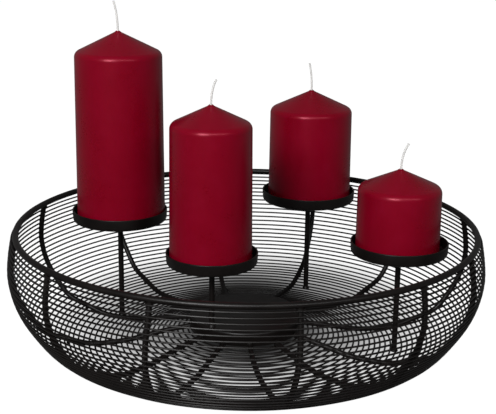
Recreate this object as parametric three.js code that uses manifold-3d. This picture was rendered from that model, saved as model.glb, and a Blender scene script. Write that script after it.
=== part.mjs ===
// Metal advent wreath: a low round bowl of thin ring wires on twelve curved ribs,
// with four candle plates on legs and a pillar candle on each plate.
// Millimetres, +Z up, the origin on the surface it stands on, under the bowl's centre.
import * as THREE from 'three';
import { mergeVertices } from 'three/addons/utils/BufferGeometryUtils.js';
import Module from 'manifold-3d';

const wasm = await Module();
wasm.setup();

// Bowl
const RIM_RADIUS = 188;
const RIM_Z = 100;
const RIM_ROD = 5;
const RIM_SIDES = 48;
const RIB_ROD = 4.4;
const RIB_SIDES = 8;
const RIB_END_Z = 97;
const WIRE = 1.3;
const RIB_STEPS = 18;
const LINE_POINTS = 40;
const WELD_GAP = 0.35;
const BOWL_LOW = RIB_ROD / 2 + WELD_GAP + WIRE;
const RING_SIDES = 40;
const FIRST_WIRE = 4.8;
const WALL_PITCH = 8.3;
const WALL_RINGS = 15;
const FLOOR_PITCH = 11;
const FLOOR_RINGS = 7;
const TROUGH_RADIUS = 114;
const FLOOR_TOP = 20;
const SEARCH_STEPS = 4000;

// Azimuths of each rib in degrees, from the front (-Y) towards the right (+X):
// at the rim, at the bend between wall and floor, and at the cap.
const RIBS = [
  [-20.2, -23, -22], [11.2, 10.4, 4.5], [41.8, 38.4, 31.5], [65, 63, 60],
  [100, 99.5, 96], [131, 131, 132.5], [160, 160, 164], [190, 190, 192],
  [221, 219.5, 218], [251.5, 251.5, 251.5], [282, 282, 277], [310.5, 313, 310],
];

// Stub out through the wires from each rib, where its wall turns into the floor
const STUB_ALONG = 106.5;
const STUB_WIDTH = 4.4;
const STUB_THICK = 2;
const STUB_REACH = 0.7;

// Pressed cap in the middle of the floor
const CAP_RADIUS = 47.5;
const CAP_TOP = 23.7;
const CAP_SKIRT = 12;
const SHEET = 1.5;
const ROUND_SIDES = 32;

// Plates and legs
const PLATE_HEIGHT = 10;
const PLATE_SHEET = 1.5;
const LEG_ROD = 4.6;
const SEAT = 0.3;

// Candles
const WICK = 2;
const WICK_HOLE = 2.7;
const WICK_DEPTH = 6;
const SHOULDER_ROUND = 6;
const SHOULDER_STEPS = 4;
const CANDLE_DRAFT = 0.43;
const WICK_STEPS = 6;

// shift: how far right of its plate's middle the candle stands
const HOLDERS = [
  { name: 'tall', azimuth: -108.5, radius: 115, plateZ: 93.5, plate: 81, candle: 74.8, shift: 1.2, shoulder: 142, height: 160, wick: 25, lean: -3.2, foot: 'rib' },
  { name: 'front', azimuth: -38.7, radius: 44.2, plateZ: 78.3, plate: 74.4, candle: 66.6, shift: -1, shoulder: 112, height: 127.6, wick: 20, lean: 4, foot: 'cap' },
  { name: 'back', azimuth: 154.5, radius: 132.6, plateZ: 90.5, plate: 85.5, candle: 75.6, shift: 0.6, shoulder: 84, height: 101.5, wick: 25, lean: -2.5, foot: 'wire' },
  { name: 'short', azimuth: 77.4, radius: 126.2, plateZ: 86.6, plate: 78.8, candle: 67.6, shift: -1.6, shoulder: 53, height: 68.2, wick: 21, lean: 5.4, foot: 'wire' },
];

const blackMetal = new THREE.MeshStandardMaterial({ color: 0x1d1a18, roughness: 0.5, metalness: 0.6 });
const redWax = new THREE.MeshStandardMaterial({ color: 0x7a0a18, roughness: 0.4, metalness: 0 });
const whiteCotton = new THREE.MeshStandardMaterial({ color: 0xeeeae2, roughness: 0.9, metalness: 0 });

const group = new THREE.Group();

const rad = THREE.MathUtils.degToRad;

function place(name, geometry, material, x = 0, y = 0, z = 0, turn = 0) {
  const mesh = new THREE.Mesh(geometry, material);
  mesh.name = name;
  mesh.position.set(x, y, z);
  mesh.rotation.z = turn;
  group.add(mesh);
}

// Azimuth 0 is the front, and the angle grows towards the right.
function polar(radius, azimuth) {
  return [radius * Math.sin(rad(azimuth)), -radius * Math.cos(rad(azimuth))];
}

function lathe(profile, sides) {
  const points = profile.map(([r, z]) => new THREE.Vector2(r, z));
  return new THREE.LatheGeometry(points, sides).rotateX(Math.PI / 2);
}

function toSolid(geometry) {
  const bare = geometry.clone();
  bare.deleteAttribute('normal');
  bare.deleteAttribute('uv');
  const merged = mergeVertices(bare, 1e-4);
  return new wasm.Manifold(new wasm.Mesh({
    numProp: 3,
    vertProperties: new Float32Array(merged.attributes.position.array),
    triVerts: new Uint32Array(merged.index.array),
  }));
}

function toGeometry(solid) {
  const mesh = solid.getMesh();
  const geometry = new THREE.BufferGeometry();
  geometry.setAttribute('position', new THREE.BufferAttribute(mesh.vertProperties, 3));
  geometry.setIndex(new THREE.BufferAttribute(mesh.triVerts, 1));
  return geometry;
}

// A rod's round section as a polygon with one flat square to the section's +Y.
function rodSection(diameter, sides) {
  const shape = new THREE.Shape();
  const reach = diameter / 2 / Math.cos(Math.PI / sides);
  for (let i = 0; i < sides; i++) {
    const angle = Math.PI / 2 + Math.PI * (2 * i + 1) / sides;
    const x = reach * Math.cos(angle);
    const y = reach * Math.sin(angle);
    if (i === 0) shape.moveTo(x, y);
    else shape.lineTo(x, y);
  }
  shape.closePath();
  return shape;
}

// The ribs' centre line from the rim down the bulging wall, round the low trough
// and up the gently rising floor to the cap.
const bowlLine = new THREE.SplineCurve([
  [188.3, RIB_END_Z],
  [191, 82],
  [191.8, 66],
  [187.4, 48],
  [178.2, 31.8],
  [166.2, 17.6],
  [148.4, 10.4],
  [TROUGH_RADIUS + 17, BOWL_LOW + 0.85],
  [TROUGH_RADIUS, BOWL_LOW],
  [TROUGH_RADIUS - 17, BOWL_LOW + 0.85],
  [80, 7.9],
  [64, 10.8],
  [CAP_RADIUS + SEAT, 13.3],
].map(([r, z]) => new THREE.Vector2(r, z)));
const bowlLength = bowlLine.getLength();

// Way along the line to the floor's point nearest a radius.
function alongTo(radius) {
  let best = bowlLength;
  let miss = Infinity;
  bowlLine.getSpacedPoints(SEARCH_STEPS).forEach((p, i) => {
    if (p.y < FLOOR_TOP && Math.abs(p.x - radius) < miss) {
      miss = Math.abs(p.x - radius);
      best = bowlLength * i / SEARCH_STEPS;
    }
  });
  return best;
}
const troughAlong = alongTo(TROUGH_RADIUS);

// Centre and outward direction of a ring wire welded outside the ribs.
function wireSeat(along) {
  const u = along / bowlLength;
  const point = bowlLine.getPointAt(u);
  const tangent = bowlLine.getTangentAt(u);
  const outward = new THREE.Vector2(-tangent.y, tangent.x);
  const reach = RIB_ROD / 2 + WELD_GAP + WIRE / 2;
  return { centre: point.clone().addScaledVector(outward, reach), outward, tangent };
}

// A ring's sides bow round the true circle, so that it clears every rib.
function ringWire(along) {
  const { centre, outward, tangent } = wireSeat(along);
  const corner = (a, b) => [
    (centre.x + WIRE / 2 * (a * outward.x + b * tangent.x)) / Math.cos(Math.PI / RING_SIDES),
    centre.y + WIRE / 2 * (a * outward.y + b * tangent.y),
  ];
  return lathe([corner(-1, -1), corner(-1, 1), corner(1, 1), corner(1, -1), corner(-1, -1)], RING_SIDES);
}

function rim() {
  const profile = [];
  for (let i = 0; i <= 8; i++) {
    const angle = Math.PI * (2 * i + 1) / 8;
    const reach = RIM_ROD / 2 / Math.cos(Math.PI / 8);
    profile.push([RIM_RADIUS + reach * Math.cos(angle), RIM_Z + reach * Math.sin(angle)]);
  }
  return lathe(profile, RIM_SIDES);
}

// Turn of a rib away from its azimuth at the rim, as it runs down the line
function ribTurn([top, bend, floor], along) {
  const wall = THREE.MathUtils.smoothstep(along, 0, STUB_ALONG);
  const inner = THREE.MathUtils.smoothstep(along, STUB_ALONG, bowlLength);
  return rad((bend - top) * wall + (floor - bend) * inner);
}

function rib(azimuths) {
  const points = bowlLine.getSpacedPoints(LINE_POINTS).map((p, i) => {
    const turn = ribTurn(azimuths, bowlLength * i / LINE_POINTS);
    return new THREE.Vector3(p.x * Math.cos(turn), p.x * Math.sin(turn), p.y);
  });
  const path = new THREE.CatmullRomCurve3(points);
  const rod = new THREE.ExtrudeGeometry(rodSection(RIB_ROD, RIB_SIDES), { steps: RIB_STEPS, bevelEnabled: false, extrudePath: path });
  const root = bowlLine.getPointAt(STUB_ALONG / bowlLength);
  const { outward } = wireSeat(STUB_ALONG);
  const reach = RIB_ROD / 2 + WELD_GAP + WIRE + STUB_REACH;
  const stub = new THREE.BoxGeometry(reach, STUB_WIDTH, STUB_THICK)
    .translate(reach / 2, 0, 0)
    .rotateY(-Math.atan2(outward.y, outward.x))
    .translate(root.x, 0, root.y)
    .rotateZ(ribTurn(azimuths, STUB_ALONG));
  return toGeometry(toSolid(rod).add(toSolid(stub)));
}

function cap() {
  return lathe([
    [0, CAP_TOP - SHEET],
    [CAP_RADIUS - 2 * SHEET, CAP_TOP - SHEET],
    [CAP_RADIUS - SHEET, CAP_TOP - 2 * SHEET],
    [CAP_RADIUS - SHEET, CAP_TOP - CAP_SKIRT],
    [CAP_RADIUS, CAP_TOP - CAP_SKIRT],
    [CAP_RADIUS, CAP_TOP - SHEET],
    [CAP_RADIUS - SHEET, CAP_TOP],
    [0, CAP_TOP],
  ], ROUND_SIDES);
}

function plate(diameter) {
  const outer = diameter / 2;
  return lathe([
    [0, 0],
    [outer - PLATE_SHEET, 0],
    [outer, PLATE_SHEET],
    [outer, PLATE_HEIGHT],
    [outer - PLATE_SHEET, PLATE_HEIGHT],
    [outer - PLATE_SHEET, PLATE_SHEET],
    [0, PLATE_SHEET],
  ], ROUND_SIDES);
}

function leg(length) {
  return new THREE.CylinderGeometry(LEG_ROD / 2, LEG_ROD / 2, length, 8)
    .rotateX(Math.PI / 2)
    .translate(0, 0, length / 2);
}

// The wall leans in a little, and a round shoulder leads into the cone, whose line
// would meet the wall's at the shoulder's height.
function candle(diameter, shoulder, height) {
  const low = diameter / 2;
  const high = low - shoulder * Math.tan(rad(CANDLE_DRAFT));
  const turn = Math.PI / 2 - Math.atan2(height - shoulder, high);
  const wallTop = shoulder - SHOULDER_ROUND * Math.tan(turn / 2);
  const profile = [[0, 0], [low - 1, 0], [low, 1]];
  for (let i = 0; i <= SHOULDER_STEPS; i++) {
    const angle = turn * i / SHOULDER_STEPS;
    profile.push([
      high - SHOULDER_ROUND * (1 - Math.cos(angle)),
      wallTop + SHOULDER_ROUND * Math.sin(angle),
    ]);
  }
  profile.push(
    [WICK_HOLE / 2, height],
    [WICK_HOLE / 2, height - WICK_DEPTH],
    [0, height - WICK_DEPTH],
  );
  return lathe(profile, ROUND_SIDES);
}

function wick(length, lean) {
  const path = new THREE.QuadraticBezierCurve3(
    new THREE.Vector3(0, 0, 0),
    new THREE.Vector3(0, 0, WICK_DEPTH + 0.55 * length),
    new THREE.Vector3(lean, 0, WICK_DEPTH + length),
  );
  return new THREE.ExtrudeGeometry(rodSection(WICK, 6), { steps: WICK_STEPS, bevelEnabled: false, extrudePath: path });
}

place('rim_ring', rim(), blackMetal);

RIBS.forEach((azimuths, i) => {
  place(`rib_${i + 1}`, rib(azimuths), blackMetal, 0, 0, 0, rad(azimuths[0] - 90));
});

for (let i = 0; i < WALL_RINGS; i++) {
  place(`wall_wire_${i + 1}`, ringWire(FIRST_WIRE + WALL_PITCH * i), blackMetal);
}
// The second floor wire lies in the trough, and the wreath stands on its flat underside.
for (let i = 0; i < FLOOR_RINGS; i++) {
  place(`floor_wire_${i + 1}`, ringWire(troughAlong + FLOOR_PITCH * (i - 1)), blackMetal);
}

place('centre_cap', cap(), blackMetal);

// Height of the seat that a leg stands on: the cap, a rib's top, or the wires between the ribs.
function seatHeight(radius, foot) {
  if (foot === 'cap') return CAP_TOP;
  const z = bowlLine.getPointAt(alongTo(radius) / bowlLength).y;
  return foot === 'rib' ? z + RIB_ROD / 2 : z - RIB_ROD / 2 - WELD_GAP;
}

for (const holder of HOLDERS) {
  const [x, y] = polar(holder.radius, holder.azimuth);
  const footZ = seatHeight(holder.radius, holder.foot) + 2 * SEAT;
  place(`${holder.name}_leg`, leg(holder.plateZ - SEAT - footZ), blackMetal, x, y, footZ);
  place(`${holder.name}_plate`, plate(holder.plate), blackMetal, x, y, holder.plateZ);
  const candleZ = holder.plateZ + PLATE_SHEET + SEAT;
  place(`${holder.name}_candle`, candle(holder.candle, holder.shoulder, holder.height), redWax, x + holder.shift, y, candleZ);
  const wickZ = candleZ + holder.height - WICK_DEPTH + SEAT;
  place(`${holder.name}_wick`, wick(holder.wick, holder.lean), whiteCotton, x + holder.shift, y, wickZ);
}

export default group;
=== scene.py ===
import math
import random

import bmesh
import bpy
from mathutils import Matrix, Vector


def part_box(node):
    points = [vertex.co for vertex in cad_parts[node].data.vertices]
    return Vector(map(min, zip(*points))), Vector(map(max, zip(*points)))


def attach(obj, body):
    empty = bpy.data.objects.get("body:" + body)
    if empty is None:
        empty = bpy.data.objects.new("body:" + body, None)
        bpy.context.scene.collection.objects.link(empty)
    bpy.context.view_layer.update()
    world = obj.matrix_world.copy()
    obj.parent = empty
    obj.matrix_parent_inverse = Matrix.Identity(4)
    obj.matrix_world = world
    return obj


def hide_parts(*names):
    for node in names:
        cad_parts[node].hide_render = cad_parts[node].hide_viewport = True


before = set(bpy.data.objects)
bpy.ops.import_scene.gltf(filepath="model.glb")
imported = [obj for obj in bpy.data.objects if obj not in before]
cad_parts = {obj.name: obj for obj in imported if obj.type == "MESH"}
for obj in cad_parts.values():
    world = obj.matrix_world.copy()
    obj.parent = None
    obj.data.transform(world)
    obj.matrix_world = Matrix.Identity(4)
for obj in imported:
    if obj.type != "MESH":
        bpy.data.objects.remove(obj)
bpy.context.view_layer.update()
mm = 0.001  # sizes are in millimetres where no note says otherwise
print("metal advent wreath: frame loaded with", len(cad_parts), "nodes")


# Camera, at the photo's distance and height

cameraView = {
    "place": (0, -880, 363.2),
    "pitchDown": 15.7,  # degrees
    "roll": 0.65,  # degrees
    "lens": 80.44,
    "sensor": 36,
    "shiftX": 0.0022,
}


def buildCamera():
    pitch = math.radians(cameraView["pitchDown"])
    roll = math.radians(cameraView["roll"])
    right = Vector((1, 0, 0))
    up = Vector((0, math.sin(pitch), math.cos(pitch)))
    rolledRight = right * math.cos(roll) + up * math.sin(roll)
    rolledUp = up * math.cos(roll) - right * math.sin(roll)
    turn = Matrix((rolledRight, rolledUp, rolledRight.cross(rolledUp))).transposed()
    data = bpy.data.cameras.new("camera")
    data.sensor_width = cameraView["sensor"]
    data.lens = cameraView["lens"]
    data.shift_x = cameraView["shiftX"]
    camera = bpy.data.objects.new("camera", data)
    camera.matrix_world = Matrix.Translation(Vector(cameraView["place"]) * mm) @ turn.to_4x4()
    bpy.context.scene.collection.objects.link(camera)
    bpy.context.scene.camera = camera


buildCamera()
bpy.context.scene.view_settings.view_transform = "Standard"  # white prints white, as in the photo
print("camera placed")


# Finishes

class Signal:
    # A shader socket that sums can be written with
    def __init__(self, finish, socket):
        self.finish = finish
        self.socket = socket

    def join(self, operation, other):
        return self.finish.node("ShaderNodeMath", {"operation": operation}, {0: self, 1: other})

    def __add__(self, other):
        return self.join("ADD", other)

    def __mul__(self, other):
        return self.join("MULTIPLY", other)

    __radd__ = __add__
    __rmul__ = __mul__


class Finish:
    def __init__(self, name):
        self.material = bpy.data.materials.new(name)
        self.material.use_nodes = True
        self.tree = self.material.node_tree
        self.tree.nodes.clear()

    # Settings are set first, then the sockets get their values or links.
    def node(self, kind, settings=None, sockets=None, output=0):
        made = self.tree.nodes.new(kind)
        for key, value in (settings or {}).items():
            setattr(made, key, value)
        for key, value in (sockets or {}).items():
            if isinstance(value, Signal):
                self.tree.links.new(value.socket, made.inputs[key])
            else:
                made.inputs[key].default_value = value
        return Signal(self, made.outputs[output])

    def place(self):
        return self.node("ShaderNodeTexCoord", output="Object")

    def stretched(self, scale):
        return self.node("ShaderNodeMapping", {}, {"Vector": self.place(), "Scale": scale})

    def noise(self, vector, scale, detail):
        return self.node("ShaderNodeTexNoise", {}, {"Vector": vector, "Scale": scale, "Detail": detail})

    def distance(self, vector, middle):
        sockets = {0: vector, 1: middle}
        return self.node("ShaderNodeVectorMath", {"operation": "DISTANCE"}, sockets, output="Value")

    # A mask that runs from 0 to 1 as the signal goes from low to high
    def between(self, signal, low, high):
        sockets = {"Value": signal, "From Min": low, "From Max": high}
        return self.node("ShaderNodeMapRange", {"clamp": True}, sockets)

    def blend(self, factor, first, second):
        sockets = {"Factor": factor, 6: first, 7: second}
        return self.node("ShaderNodeMix", {"data_type": "RGBA"}, sockets, output=2)

    def bump(self, height, strength, distance):
        sockets = {"Height": height, "Strength": strength, "Distance": distance}
        return self.node("ShaderNodeBump", {}, sockets)

    def finishWith(self, sockets):
        shader = self.node("ShaderNodeBsdfPrincipled", {}, sockets)
        out = self.tree.nodes.new("ShaderNodeOutputMaterial")
        self.tree.links.new(shader.socket, out.inputs["Surface"])
        return self.material


# In each finish, a noise is (cells per metre, detail) and a bump is (strength, metres).
# A stretched noise has its cells per metre in the stretch, one number for each axis.
# The roughness entry is the least that the surface has, and the layers add the shares after it.

powderCoat = {
    "dark": (0.0038, 0.0028, 0.0025, 1),
    "light": (0.0070, 0.0052, 0.0046, 1),
    "specular": 0.28,
    "cloudNoise": (42, 3),
    "cloudEnds": (0.35, 0.65),
    "cloudShare": 0.8,
    "speckNoise": (2860, 1),
    "speckEnds": (0.62, 0.74),
    "speckShare": 0.2,
    "peelNoise": (1100, 2),
    "roughness": 0.30,
    "roughCloud": 0.06,
    "roughPeel": 0.10,
    "bump": (0.25, 0.00005),
}


def makePowderCoat():
    finish = Finish("powderCoatedBlack")
    place = finish.place()
    cloud = finish.between(finish.noise(place, *powderCoat["cloudNoise"]), *powderCoat["cloudEnds"])
    peel = finish.noise(place, *powderCoat["peelNoise"])
    speck = finish.between(finish.noise(place, *powderCoat["speckNoise"]), *powderCoat["speckEnds"])
    mottle = cloud * powderCoat["cloudShare"] + speck * powderCoat["speckShare"]
    rough = cloud * powderCoat["roughCloud"] + peel * powderCoat["roughPeel"]
    return finish.finishWith({
        "Base Color": finish.blend(mottle, powderCoat["dark"], powderCoat["light"]),
        "Roughness": rough + powderCoat["roughness"],
        "Normal": finish.bump(peel, *powderCoat["bump"]),
        "Specular IOR Level": powderCoat["specular"],
    })


candleWax = {
    "deep": (0.185, 0.0005, 0.0085, 1),
    "bright": (0.215, 0.0008, 0.0125, 1),
    "bloom": (0.240, 0.0030, 0.0200, 1),
    "gloss": (1.0, 0.24, 0.33, 1),  # the lacquer's shine is red, and white only at the edges
    "specular": 0.50,
    "subsurface": 0.10,
    "scatter": (1.0, 0.12, 0.10),
    "scatterScale": 0.0030,
    "cloudNoise": (30, 4),
    "cloudEnds": (0.32, 0.68),
    "cloudShare": 0.7,
    "streakStretch": (260, 260, 16),  # the streaks of the dipping run up and down
    "streakNoise": (1, 3),
    "streakShare": 0.3,
    "grainNoise": (700, 2),
    "bloomNoise": (55, 4),
    "bloomEnds": (0.50, 0.75),
    "bloomShare": 0.25,
    "roughness": 0.25,
    "roughCloud": 0.04,
    "roughGrain": 0.03,
    "roughBloom": 0.04,
    "bumpGrain": 0.25,
    "bumpStreak": 0.75,
    "bump": (0.06, 0.0001),
}


def makeCandleWax():
    finish = Finish("dippedRedWax")
    place = finish.place()
    cloud = finish.between(finish.noise(place, *candleWax["cloudNoise"]), *candleWax["cloudEnds"])
    streak = finish.noise(finish.stretched(candleWax["streakStretch"]), *candleWax["streakNoise"])
    grain = finish.noise(place, *candleWax["grainNoise"])
    bloom = finish.between(finish.noise(place, *candleWax["bloomNoise"]), *candleWax["bloomEnds"])
    mottle = cloud * candleWax["cloudShare"] + streak * candleWax["streakShare"]
    body = finish.blend(mottle, candleWax["deep"], candleWax["bright"])
    rough = cloud * candleWax["roughCloud"] + grain * candleWax["roughGrain"]
    rough = rough + bloom * candleWax["roughBloom"]
    relief = grain * candleWax["bumpGrain"] + streak * candleWax["bumpStreak"]
    return finish.finishWith({
        "Base Color": finish.blend(bloom * candleWax["bloomShare"], body, candleWax["bloom"]),
        "Roughness": rough + candleWax["roughness"],
        "Normal": finish.bump(relief, *candleWax["bump"]),
        "Subsurface Weight": candleWax["subsurface"],
        "Subsurface Radius": candleWax["scatter"],
        "Subsurface Scale": candleWax["scatterScale"],
        "Specular IOR Level": candleWax["specular"],
        "Specular Tint": candleWax["gloss"],
    })


wickCotton = {
    "shade": (0.66, 0.66, 0.64, 1),
    "light": (0.84, 0.84, 0.82, 1),
    "fibreStretch": (3200, 3200, 700),
    "fibreNoise": (1, 3),
    "fibreEnds": (0.3, 0.6),
    "roughness": 0.82,
    "roughFibre": 0.1,
    "bump": (0.35, 0.0001),
}


def makeWickCotton():
    finish = Finish("braidedCotton")
    fibre = finish.noise(finish.stretched(wickCotton["fibreStretch"]), *wickCotton["fibreNoise"])
    pale = finish.between(fibre, *wickCotton["fibreEnds"])
    return finish.finishWith({
        "Base Color": finish.blend(pale, wickCotton["shade"], wickCotton["light"]),
        "Roughness": fibre * wickCotton["roughFibre"] + wickCotton["roughness"],
        "Normal": finish.bump(fibre, *wickCotton["bump"]),
    })


finishes = {
    "black_metal": makePowderCoat(),
    "red_wax": makeCandleWax(),
    "cotton": makeWickCotton(),
}
print("finishes made:", ", ".join(finishes))


# Shared modelling steps

meshing = {
    "mergeWithin": 0.000001,  # metres
    "sharpAngle": 40,  # degrees
    "roundSteps": 5,
}


def keepPiece(name, bm, slot, nodes, sharpAngle=meshing["sharpAngle"]):
    bmesh.ops.remove_doubles(bm, verts=bm.verts, dist=meshing["mergeWithin"])
    bmesh.ops.recalc_face_normals(bm, faces=bm.faces)
    mesh = bpy.data.meshes.new(name)
    bm.to_mesh(mesh)
    bm.free()
    mesh.shade_smooth()
    mesh.set_sharp_from_angle(angle=math.radians(sharpAngle))
    mesh.materials.append(finishes[slot])
    piece = bpy.data.objects.new(name, mesh)
    bpy.context.scene.collection.objects.link(piece)
    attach(piece, "root")
    if nodes:
        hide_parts(*nodes)


# Corners are (radius, height, rounding), and a rounding of 0 keeps a corner sharp.
def roundedProfile(corners, steps=meshing["roundSteps"]):
    points = []
    for i, (r, z, rounding) in enumerate(corners):
        here = Vector((r, z))
        if rounding == 0 or i in (0, len(corners) - 1):
            points.append(here)
            continue
        back = (Vector(corners[i - 1][:2]) - here).normalized()
        ahead = (Vector(corners[i + 1][:2]) - here).normalized()
        half = back.angle(ahead) / 2
        centre = here + (back + ahead).normalized() * (rounding / math.sin(half))
        start = here + back * (rounding / math.tan(half)) - centre
        sweep = start.angle_signed(here + ahead * (rounding / math.tan(half)) - centre)
        for k in range(steps + 1):
            points.append(centre + Matrix.Rotation(-sweep * k / steps, 2) @ start)
    return points


def spinRound(bm, verts, edges, centre, steps):
    bmesh.ops.spin(
        bm, geom=verts + edges, cent=centre, axis=(0, 0, 1), dvec=(0, 0, 0),
        angle=2 * math.pi, steps=steps, use_merge=True, use_duplicate=False,
    )


def spinProfile(bm, points, steps, place=(0, 0, 0)):
    centre = Vector(place) * mm
    verts = [bm.verts.new(centre + Vector((p.x, 0, p.y)) * mm) for p in points]
    edges = [bm.edges.new(pair) for pair in zip(verts, verts[1:])]
    spinRound(bm, verts, edges, centre, steps)


def edgesOf(verts):
    return list({edge for vert in verts for edge in vert.link_edges})


# A round section is drawn at the first frame and extruded from frame to frame.
def sweepRod(bm, frames, radius, sides):
    made = bmesh.ops.create_circle(bm, cap_ends=True, radius=radius * mm, segments=sides, matrix=frames[0])
    face = made["verts"][0].link_faces[0]
    for before, after in zip(frames, frames[1:]):
        grown = bmesh.ops.extrude_face_region(bm, geom=[face])["geom"]
        verts = [part for part in grown if isinstance(part, bmesh.types.BMVert)]
        face = next(part for part in grown if isinstance(part, bmesh.types.BMFace))
        bmesh.ops.transform(bm, matrix=after @ before.inverted(), verts=verts)


def frameAt(place, along, side, turn=0.0):
    along = along.normalized()
    across = side.cross(along).normalized()
    axes = Matrix((along.cross(across) * -1, across, along)).transposed().to_4x4()
    return Matrix.Translation(place * mm) @ axes @ Matrix.Rotation(turn, 4, "Z")


# Azimuth 0 points at the camera, and 90 to the right in the photo.
def polar(radius, azimuth, z=0.0):
    angle = math.radians(azimuth)
    return Vector((radius * math.sin(angle), -radius * math.cos(angle), z))


# Adds a finished part to a bigger mesh, which is quicker than growing it there.
def addPart(bm, part, matrix=Matrix.Identity(4)):
    mesh = bpy.data.meshes.new("part")
    part.to_mesh(mesh)
    mesh.transform(matrix)
    bm.from_mesh(mesh)
    bpy.data.meshes.remove(mesh)


# Bowl: rim, twelve ribs, and ring wires welded to the outside of the ribs

bowl = {
    "line": [  # radius and height of the ribs' centre line, mm
        (188.3, 97), (191, 82), (191.8, 66), (187.4, 48), (178.2, 31.8), (166.2, 17.6), (148.4, 10.4),
        (131, 4.7), (114, 3.85), (97, 4.7), (80, 7.9), (64, 10.8), (47.8, 13.3),
    ],
    "ribs": [  # azimuth of each rib at the rim, at the bend and at the cap
        (-20.2, -23, -22), (11.2, 10.4, 4.5), (41.8, 38.4, 31.5), (65, 63, 60),
        (100, 99.5, 96), (131, 131, 132.5), (160, 160, 164), (190, 190, 192),
        (221, 219.5, 218), (251.5, 251.5, 251.5), (282, 282, 277), (310.5, 313, 310),
    ],
    "lineSteps": 40,  # in each stretch of the line
    "lineEnd": 0.001,  # places on the line stay this far from its end
    "bend": 106.5,  # way from the rim down to the bend, where the stubs are
    "ribRod": 4.4,
    "ribShift": 0.45,  # outwards, so that the ribs bear on the wires
    "weldGap": 0.15,
}


# An even curve through the corners, as short steps of (point, way along)
def smoothLine(corners, steps):
    spots = [Vector(corner) for corner in corners]
    spots = [spots[0]] + spots + [spots[-1]]
    line = [(spots[1], 0.0)]
    for p0, p1, p2, p3 in zip(spots, spots[1:], spots[2:], spots[3:]):
        for k in range(1, steps + 1):
            t = k / steps
            point = 0.5 * (2 * p1 + (p2 - p0) * t + (2 * p0 - 5 * p1 + 4 * p2 - p3) * t ** 2
                           + (3 * p1 - p0 - 3 * p2 + p3) * t ** 3)
            line.append((point, line[-1][1] + (point - line[-1][0]).length))
    return line


bowlLine = smoothLine(bowl["line"], bowl["lineSteps"])
bowlLength = bowlLine[-1][1]


# Point on the ribs' centre line, its direction, and the way out of the bowl
def bowlAt(along):
    along = min(max(along, 0.0), bowlLength - bowl["lineEnd"])
    i = next(k for k, (_, way) in enumerate(bowlLine) if way > along)
    (first, wayFirst), (second, waySecond) = bowlLine[i - 1], bowlLine[i]
    point = first.lerp(second, (along - wayFirst) / (waySecond - wayFirst))
    tangent = (second - first).normalized()
    return point, tangent, Vector((-tangent.y, tangent.x))


wires = {
    "rod": 1.5,
    "first": 0.8,  # way from the top of the ribs' line to the first wire
    "inWall": 29,
    "wallPitch": 3.95,
    "inFloor": 22,
    "floorPitch": 4.358,
    "sides": 8,
    "steps": 144,
    "wander": 0.11,
    "waves": (2, 3, 5, 9, 13),  # waves in one turn, which are added
    "waveSizes": (0.3, 1),  # least and greatest, as shares of the wander
    "waveMix": 0.5,  # share of their sum that a wire strays up and down
    "outward": 0.4,  # share of that which it also strays outwards
    "seed": 24,
}


def wireWays():
    wall = [wires["first"] + wires["wallPitch"] * k for k in range(wires["inWall"])]
    floor = [wall[-1] + wires["floorPitch"] * (k + 1) for k in range(wires["inFloor"])]
    return wall, floor


def wireCentre(along):
    point, _, outward = bowlAt(along)
    return point + outward * (bowl["ribRod"] / 2 + bowl["weldGap"] + wires["rod"] / 2)


def ringRod(bm, radius, z, thickness, sides, steps):
    matrix = Matrix.Translation(Vector((radius, 0, z)) * mm) @ Matrix.Rotation(math.pi / 2, 4, "X")
    rod = thickness / 2 * mm
    verts = bmesh.ops.create_circle(bm, cap_ends=False, radius=rod, segments=sides, matrix=matrix)["verts"]
    spinRound(bm, verts, edgesOf(verts), (0, 0, 0), steps)


# Each wire strays a little from its circle, as drawn wire does.
def stray(verts, draw, amount):
    waves = []
    for k in wires["waves"]:
        phase = draw.uniform(0, 2 * math.pi)
        waves.append((k, phase, draw.uniform(*wires["waveSizes"]) * amount * mm))
    for vert in verts:
        turn = math.atan2(vert.co.y, vert.co.x)
        lift = sum(size * math.sin(k * turn + phase) for k, phase, size in waves) * wires["waveMix"]
        vert.co.z += lift
        out = Vector((vert.co.x, vert.co.y, 0)).normalized()
        vert.co += out * lift * wires["outward"]


# A wire low in the trough, where the wreath stands, stays level.
def buildWires(name, ways, nodes):
    draw = random.Random(wires["seed"] + len(name))
    bm = bmesh.new()
    for way in ways:
        centre = wireCentre(way)
        standing = centre.y < wires["rod"]
        ring = bmesh.new()
        ringRod(ring, centre.x, centre.y, wires["rod"], wires["sides"], wires["steps"])
        stray(ring.verts, draw, 0 if standing else wires["wander"])
        addPart(bm, ring)
        ring.free()
    keepPiece(name, bm, "black_metal", nodes)


def nodesLike(prefix):
    return [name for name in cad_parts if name.startswith(prefix)]


wallWays, floorWays = wireWays()
buildWires("wallWires", wallWays, nodesLike("wall_wire_"))
buildWires("floorWires", floorWays, nodesLike("floor_wire_"))
print("ring wires:", len(wallWays), "in the wall and", len(floorWays), "in the floor")


rimSize = {
    "sides": 20,
    "steps": 200,
}


def buildRim():
    low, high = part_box("rim_ring")
    rod = (high[2] - low[2]) / mm
    radius = high[0] / mm - rod / 2
    bm = bmesh.new()
    ringRod(bm, radius, (low[2] + high[2]) / 2 / mm, rod, rimSize["sides"], rimSize["steps"])
    keepPiece("rimRing", bm, "black_metal", ["rim_ring"])


buildRim()
print("rim built")


ribSize = {
    "top": -1.6,  # the rod runs this far into the rim, measured along the line
    "steps": 72,
    "sides": 14,
}

stubSize = {
    "box": (4.35, 4.4, 2.0),  # outwards, across and along the rib
    "edgeRound": 0.6,
    "roundSteps": 3,
}


def ease(value):
    t = min(max(value, 0.0), 1.0)
    return t * t * (3 - 2 * t)


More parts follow.
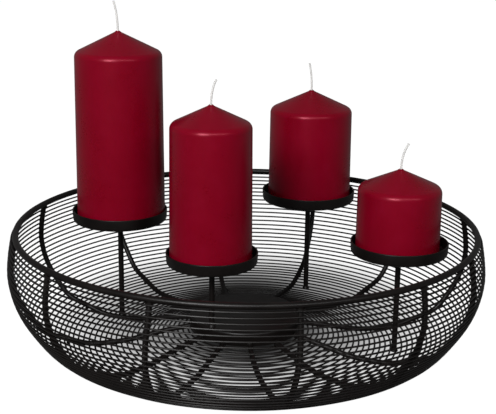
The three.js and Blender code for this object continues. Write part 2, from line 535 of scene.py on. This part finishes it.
def ribAzimuth(azimuths, along):
    rim, bend, cap = azimuths
    upper = ease(along / bowl["bend"])
    lower = ease((along - bowl["bend"]) / (bowlLength - bowl["bend"]))
    return rim + (bend - rim) * upper + (cap - bend) * lower


# Place on a rib, and the axes (side, along, outward) there
def ribPoint(along, azimuths):
    azimuth = ribAzimuth(azimuths, along)
    point, tangent, outward = bowlAt(along)
    spot = point + outward * bowl["ribShift"] + tangent * min(along, 0.0)
    axes = polar(1, azimuth + 90), polar(tangent.x, azimuth, tangent.y), polar(outward.x, azimuth, outward.y)
    return polar(spot.x, azimuth, spot.y), axes


def buildRib(number, azimuths):
    run = bowlLength - ribSize["top"]
    ways = [ribSize["top"] + run * k / ribSize["steps"] for k in range(ribSize["steps"] + 1)]
    places = [ribPoint(way, azimuths)[0] for way in ways]
    ahead = places[1:] + [places[-1]]
    behind = [places[0]] + places[:-1]
    frames = []
    for way, place, after, before in zip(ways, places, ahead, behind):
        side = ribPoint(way, azimuths)[1][0]
        frames.append(frameAt(place, after - before, side))
    bm = bmesh.new()
    sweepRod(bm, frames, bowl["ribRod"] / 2, ribSize["sides"])
    keepPiece("rib" + str(number), bm, "black_metal", ["rib_" + str(number)])


def buildStubs():
    length, width, thick = stubSize["box"]
    bm = bmesh.new()
    for azimuths in bowl["ribs"]:
        place, (side, along, outward) = ribPoint(bowl["bend"], azimuths)
        axes = Matrix((outward, side, along)).transposed().to_4x4()
        shape = Matrix.Translation((place + outward * length / 2) * mm) @ axes
        shape = shape @ Matrix.Diagonal((length * mm, width * mm, thick * mm, 1))
        made = bmesh.ops.create_cube(bm, size=1, matrix=shape)
        bmesh.ops.bevel(
            bm, geom=edgesOf(made["verts"]), offset=stubSize["edgeRound"] * mm,
            segments=stubSize["roundSteps"], profile=0.5, affect="EDGES", material=-1,
        )
    keepPiece("ribStubs", bm, "black_metal", [])


for number, azimuths in enumerate(bowl["ribs"], 1):
    buildRib(number, azimuths)
buildStubs()
print("ribs built")


weldSize = {
    "wire": (1.9, 1.0, 0.75),  # half sizes across, along and outwards
    "rim": (3.4, 3.4, 1.5),  # half sizes across, outwards and along
    "cap": (3.0, 3.0, 1.4),
    "sink": 0.05,  # into the rib
    "rimWay": -0.2,  # along the ribs' line
    "capWay": 0.4,  # before the end of that line
    "segments": 8,
    "rings": 5,
}


def weldMatrix(place, axes, radii):
    return Matrix.Translation(place * mm) @ axes @ Matrix.Diagonal((*(r * mm for r in radii), 1))


def buildWelds():
    bead = bmesh.new()
    bmesh.ops.create_uvsphere(bead, u_segments=weldSize["segments"], v_segments=weldSize["rings"], radius=1)
    ends = ((weldSize["rimWay"], weldSize["rim"]), (bowlLength - weldSize["capWay"], weldSize["cap"]))
    bm = bmesh.new()
    for azimuths in bowl["ribs"]:
        for way in wallWays + floorWays:
            place, (side, along, outward) = ribPoint(way, azimuths)
            axes = Matrix((side, along, outward)).transposed().to_4x4()
            seat = place + outward * (bowl["ribRod"] / 2 - weldSize["sink"])
            addPart(bm, bead, weldMatrix(seat, axes, weldSize["wire"]))
        for way, radii in ends:
            place, (side, along, outward) = ribPoint(way, azimuths)
            axes = Matrix((side, outward, along)).transposed().to_4x4()
            addPart(bm, bead, weldMatrix(place, axes, radii))
    bead.free()
    keepPiece("welds", bm, "black_metal", [])


buildWelds()
print("welds built")


# Pressed cap in the middle of the floor

capShape = {
    "sheet": 1.3,
    "edgeRound": 2.4,
    "innerRound": 1.62,
    "lipRound": 0.45,
    "steps": 128,
}


def buildCap():
    low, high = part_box("centre_cap")
    outer = high[0] / mm
    bottom, top = low[2] / mm, high[2] / mm
    inner, ceiling = outer - capShape["sheet"], top - capShape["sheet"]
    profile = roundedProfile([
        (0, ceiling, 0),
        (inner, ceiling, capShape["innerRound"]),
        (inner, bottom, capShape["lipRound"]),
        (outer, bottom, capShape["lipRound"]),
        (outer, top, capShape["edgeRound"]),
        (0, top, 0),
    ])
    bm = bmesh.new()
    spinProfile(bm, profile, capShape["steps"])
    keepPiece("centreCap", bm, "black_metal", ["centre_cap"])


buildCap()
print("cap built")


# Candle holders: leg, plate, candle and wick

def middle(node):
    low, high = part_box(node)
    return (low[0] + high[0]) / 2 / mm, (low[1] + high[1]) / 2 / mm


# Spins a profile round the middle of the node that it replaces.
def keepTurned(name, profile, steps, height, slot, node):
    bm = bmesh.new()
    x, y = middle(node)
    spinProfile(bm, profile, steps, (x, y, height))
    keepPiece(name, bm, slot, [node])


plateShape = {
    "sheet": 1.5,
    "wall": 1.2,
    "lean": 0.6,
    "cornerRound": 2.8,
    "lipRound": 0.5,
    "steps": 128,
}


def buildPlate(name):
    node = name + "_plate"
    low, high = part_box(node)
    outer = (high[0] - low[0]) / 2 / mm
    height = (high[2] - low[2]) / mm
    wall, lean, lip = plateShape["wall"], plateShape["lean"], plateShape["lipRound"]
    profile = roundedProfile([
        (0, 0, 0),
        (outer - lean, 0, plateShape["cornerRound"]),
        (outer, height, lip),
        (outer - wall, height, lip),
        (outer - wall - lean, plateShape["sheet"], plateShape["cornerRound"] - wall),
        (0, plateShape["sheet"], 0),
    ])
    keepTurned(name + "Plate", profile, plateShape["steps"], low[2] / mm, "black_metal", node)


legShape = {
    "footSink": 0.9,
    "footOut": 1.14,
    "footRound": 0.3,
    "headSink": 0.5,
    "headOut": 1.9,
    "weldHigh": 1.7,
    "weldRound": 1.6,
    "steps": 24,
}


def buildLeg(name):
    node = name + "_leg"
    low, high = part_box(node)
    rod = (high[0] - low[0]) / 2 / mm
    bottom = low[2] / mm - legShape["footSink"]
    length = high[2] / mm + legShape["headSink"] - bottom
    rise, bend = legShape["weldHigh"], legShape["weldRound"]
    profile = roundedProfile([
        (0, 0, 0),
        (rod + legShape["footOut"], 0, legShape["footRound"]),
        (rod, rise + legShape["footSink"], bend),
        (rod, length - rise, bend),
        (rod + legShape["headOut"], length, 0),
        (0, length, 0),
    ])
    keepTurned(name + "Leg", profile, legShape["steps"], bottom, "black_metal", node)


candleShape = {
    "draft": 0.43,  # degrees
    "footRound": 1.4,
    "shoulderRound": 6.0,
    "tipRadius": 2.9,  # the cone ends here and flares up round the wick
    "tipRound": 2.4,
    "lip": (1.15, 0.1),  # radius, and height above the top of the source's candle
    "lipRound": 0.35,
    "hole": (1.0, 1.6),  # radius, and depth below that top
    "roundSteps": 8,
    "steps": 160,
}


# Gives back the bottom of the hole, where the wick begins.
def buildCandle(name, shoulder):
    node = name + "_candle"
    low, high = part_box(node)
    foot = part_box(name + "_plate")[0][2] / mm + plateShape["sheet"]
    shift = low[2] / mm - foot
    radius = (high[0] - low[0]) / 2 / mm
    upper = radius - shoulder * math.tan(math.radians(candleShape["draft"]))
    height = (high[2] - low[2]) / mm + shift
    slope = (height - shoulder - shift) / upper
    tip = candleShape["tipRadius"]
    lip, lipRise = candleShape["lip"]
    hole, depth = candleShape["hole"]
    profile = roundedProfile([
        (0, 0, 0),
        (radius, 0, candleShape["footRound"]),
        (upper, shoulder + shift, candleShape["shoulderRound"]),
        (tip, height - slope * tip, candleShape["tipRound"]),
        (lip, height + lipRise, candleShape["lipRound"]),
        (hole, height - depth, 0),
        (0, height - depth, 0),
    ], candleShape["roundSteps"])
    keepTurned(name + "Candle", profile, candleShape["steps"], foot, "red_wax", node)
    return Vector((*middle(node), foot + height - depth))


wickShape = {
    "radius": 0.92,
    "strands": 3,
    "groove": 0.16,
    "turnLength": 5.5,
    "bendAt": 0.6,  # share of its length
    "endDrop": 1.5,  # from the top of the source's wick down to the middle of the end
    "sides": 18,
    "steps": 56,
    "sharpAngle": 70,  # degrees
}


# The section has a groove between every two strands, and turns on its way up.
def buildWick(name, base, lean):
    node = name + "_wick"
    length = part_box(node)[1][2] / mm - base.z
    bend = base + Vector((0, 0, length * wickShape["bendAt"]))
    end = base + Vector((lean, 0, length - wickShape["endDrop"]))
    steps, sides = wickShape["steps"], wickShape["sides"]
    frames = []
    for k in range(steps + 1):
        t = k / steps
        place = base * (1 - t) ** 2 + bend * 2 * t * (1 - t) + end * t ** 2
        along = (bend - base) * (1 - t) + (end - bend) * t
        turn = 2 * math.pi * t * length / wickShape["turnLength"]
        frames.append(frameAt(place, along, Vector((0, 1, 0)), turn))
    bm = bmesh.new()
    sweepRod(bm, frames, wickShape["radius"], sides)
    bm.verts.ensure_lookup_table()
    for i, vert in enumerate(bm.verts):
        k, corner = divmod(i, sides)
        centre = frames[k].to_translation()
        wave = math.cos(2 * math.pi * wickShape["strands"] * corner / sides)
        groove = 1 - wickShape["groove"] * (0.5 - 0.5 * wave)
        vert.co = centre + (vert.co - centre) * groove
    keepPiece(name + "Wick", bm, "cotton", [node], wickShape["sharpAngle"])


# Height of each candle's shoulder above its foot, and how far its wick leans
candles = {
    "tall": {"shoulder": 142, "lean": -3.2},
    "front": {"shoulder": 112, "lean": 4.0},
    "back": {"shoulder": 84, "lean": -2.5},
    "short": {"shoulder": 53, "lean": 5.4},
}

for name, candle in candles.items():
    buildPlate(name)
    buildLeg(name)
    wickBase = buildCandle(name, candle["shoulder"])
    buildWick(name, wickBase, candle["lean"])
print("candle holders built")


# Floor and light, with places and sizes in metres

studio = {
    "floorColour": (0.10, 0.10, 0.10, 1),
    "floorRoughness": 0.9,
    "floorHalf": 6.0,
    "glow": (1.0, 1.0, 1.0, 1),  # the pale floor glows, so that it prints white
    "shade": (0.27, 0.27, 0.27, 1),  # under the bowl
    "deepShade": (0.012, 0.012, 0.012, 1),  # under and behind the cap
    "shadeMiddle": (0, 0.055, 0),
    "shadeEdge": (0.100, 0.190),  # from the middle to where it begins to fade, and to where it is gone
    "deepMiddle": (0, 0.045, 0),
    "deepStretch": (1.7, 1, 1),  # the deep shade is narrower than it is long
    "deepEdge": (0.080, 0.130),
    "world": 0.14,
}


def buildFloor():
    bm = bmesh.new()
    bmesh.ops.create_grid(bm, x_segments=1, y_segments=1, size=studio["floorHalf"])
    mesh = bpy.data.meshes.new("floor")
    bm.to_mesh(mesh)
    bm.free()
    finish = Finish("paleFloor")
    away = finish.distance(finish.place(), studio["shadeMiddle"])
    awayDeep = finish.distance(finish.stretched(studio["deepStretch"]), studio["deepMiddle"])
    shade = finish.blend(finish.between(awayDeep, *studio["deepEdge"]), studio["deepShade"], studio["shade"])
    mesh.materials.append(finish.finishWith({
        "Base Color": studio["floorColour"],
        "Roughness": studio["floorRoughness"],
        "Specular IOR Level": 0.0,
        "Emission Color": finish.blend(finish.between(away, *studio["shadeEdge"]), shade, studio["glow"]),
        "Emission Strength": 1.0,
    }))
    floor = bpy.data.objects.new("floor", mesh)
    bpy.context.scene.collection.objects.link(floor)
    floor.visible_diffuse = False  # its glow is for the eye alone and lights nothing
    floor.visible_glossy = False


# The eye sees a white background, and the part a dimmer one.
def buildWorld():
    world = bpy.data.worlds.new("studio")
    world.use_nodes = True
    tree = world.node_tree
    background = tree.nodes["Background"]
    background.inputs["Color"].default_value = (1, 1, 1, 1)
    seen = tree.nodes.new("ShaderNodeLightPath")
    strength = tree.nodes.new("ShaderNodeMapRange")
    strength.inputs["To Min"].default_value = studio["world"]
    tree.links.new(seen.outputs["Is Camera Ray"], strength.inputs["Value"])
    tree.links.new(strength.outputs["Result"], background.inputs["Strength"])
    bpy.context.scene.world = world


lamps = [  # name, place, aim, size, watts
    ("keyLeft", (-0.78, -2.02, 1.26), (0, 0, 0.12), (0.8, 0.8), 40),
    ("frontStrip", (0.25, -2.1, 1.6), (0, 0, 0.12), (4.0, 0.36), 30),
]


def buildLamp(name, place, aim, size, watts):
    data = bpy.data.lights.new(name, "AREA")
    data.shape = "RECTANGLE"
    data.size, data.size_y = size
    data.energy = watts
    lamp = bpy.data.objects.new(name, data)
    turn = (Vector(aim) - Vector(place)).to_track_quat("-Z", "Y").to_matrix().to_4x4()
    lamp.matrix_world = Matrix.Translation(place) @ turn
    bpy.context.scene.collection.objects.link(lamp)


buildFloor()
buildWorld()
for lamp in lamps:
    buildLamp(*lamp)
print("studio built")
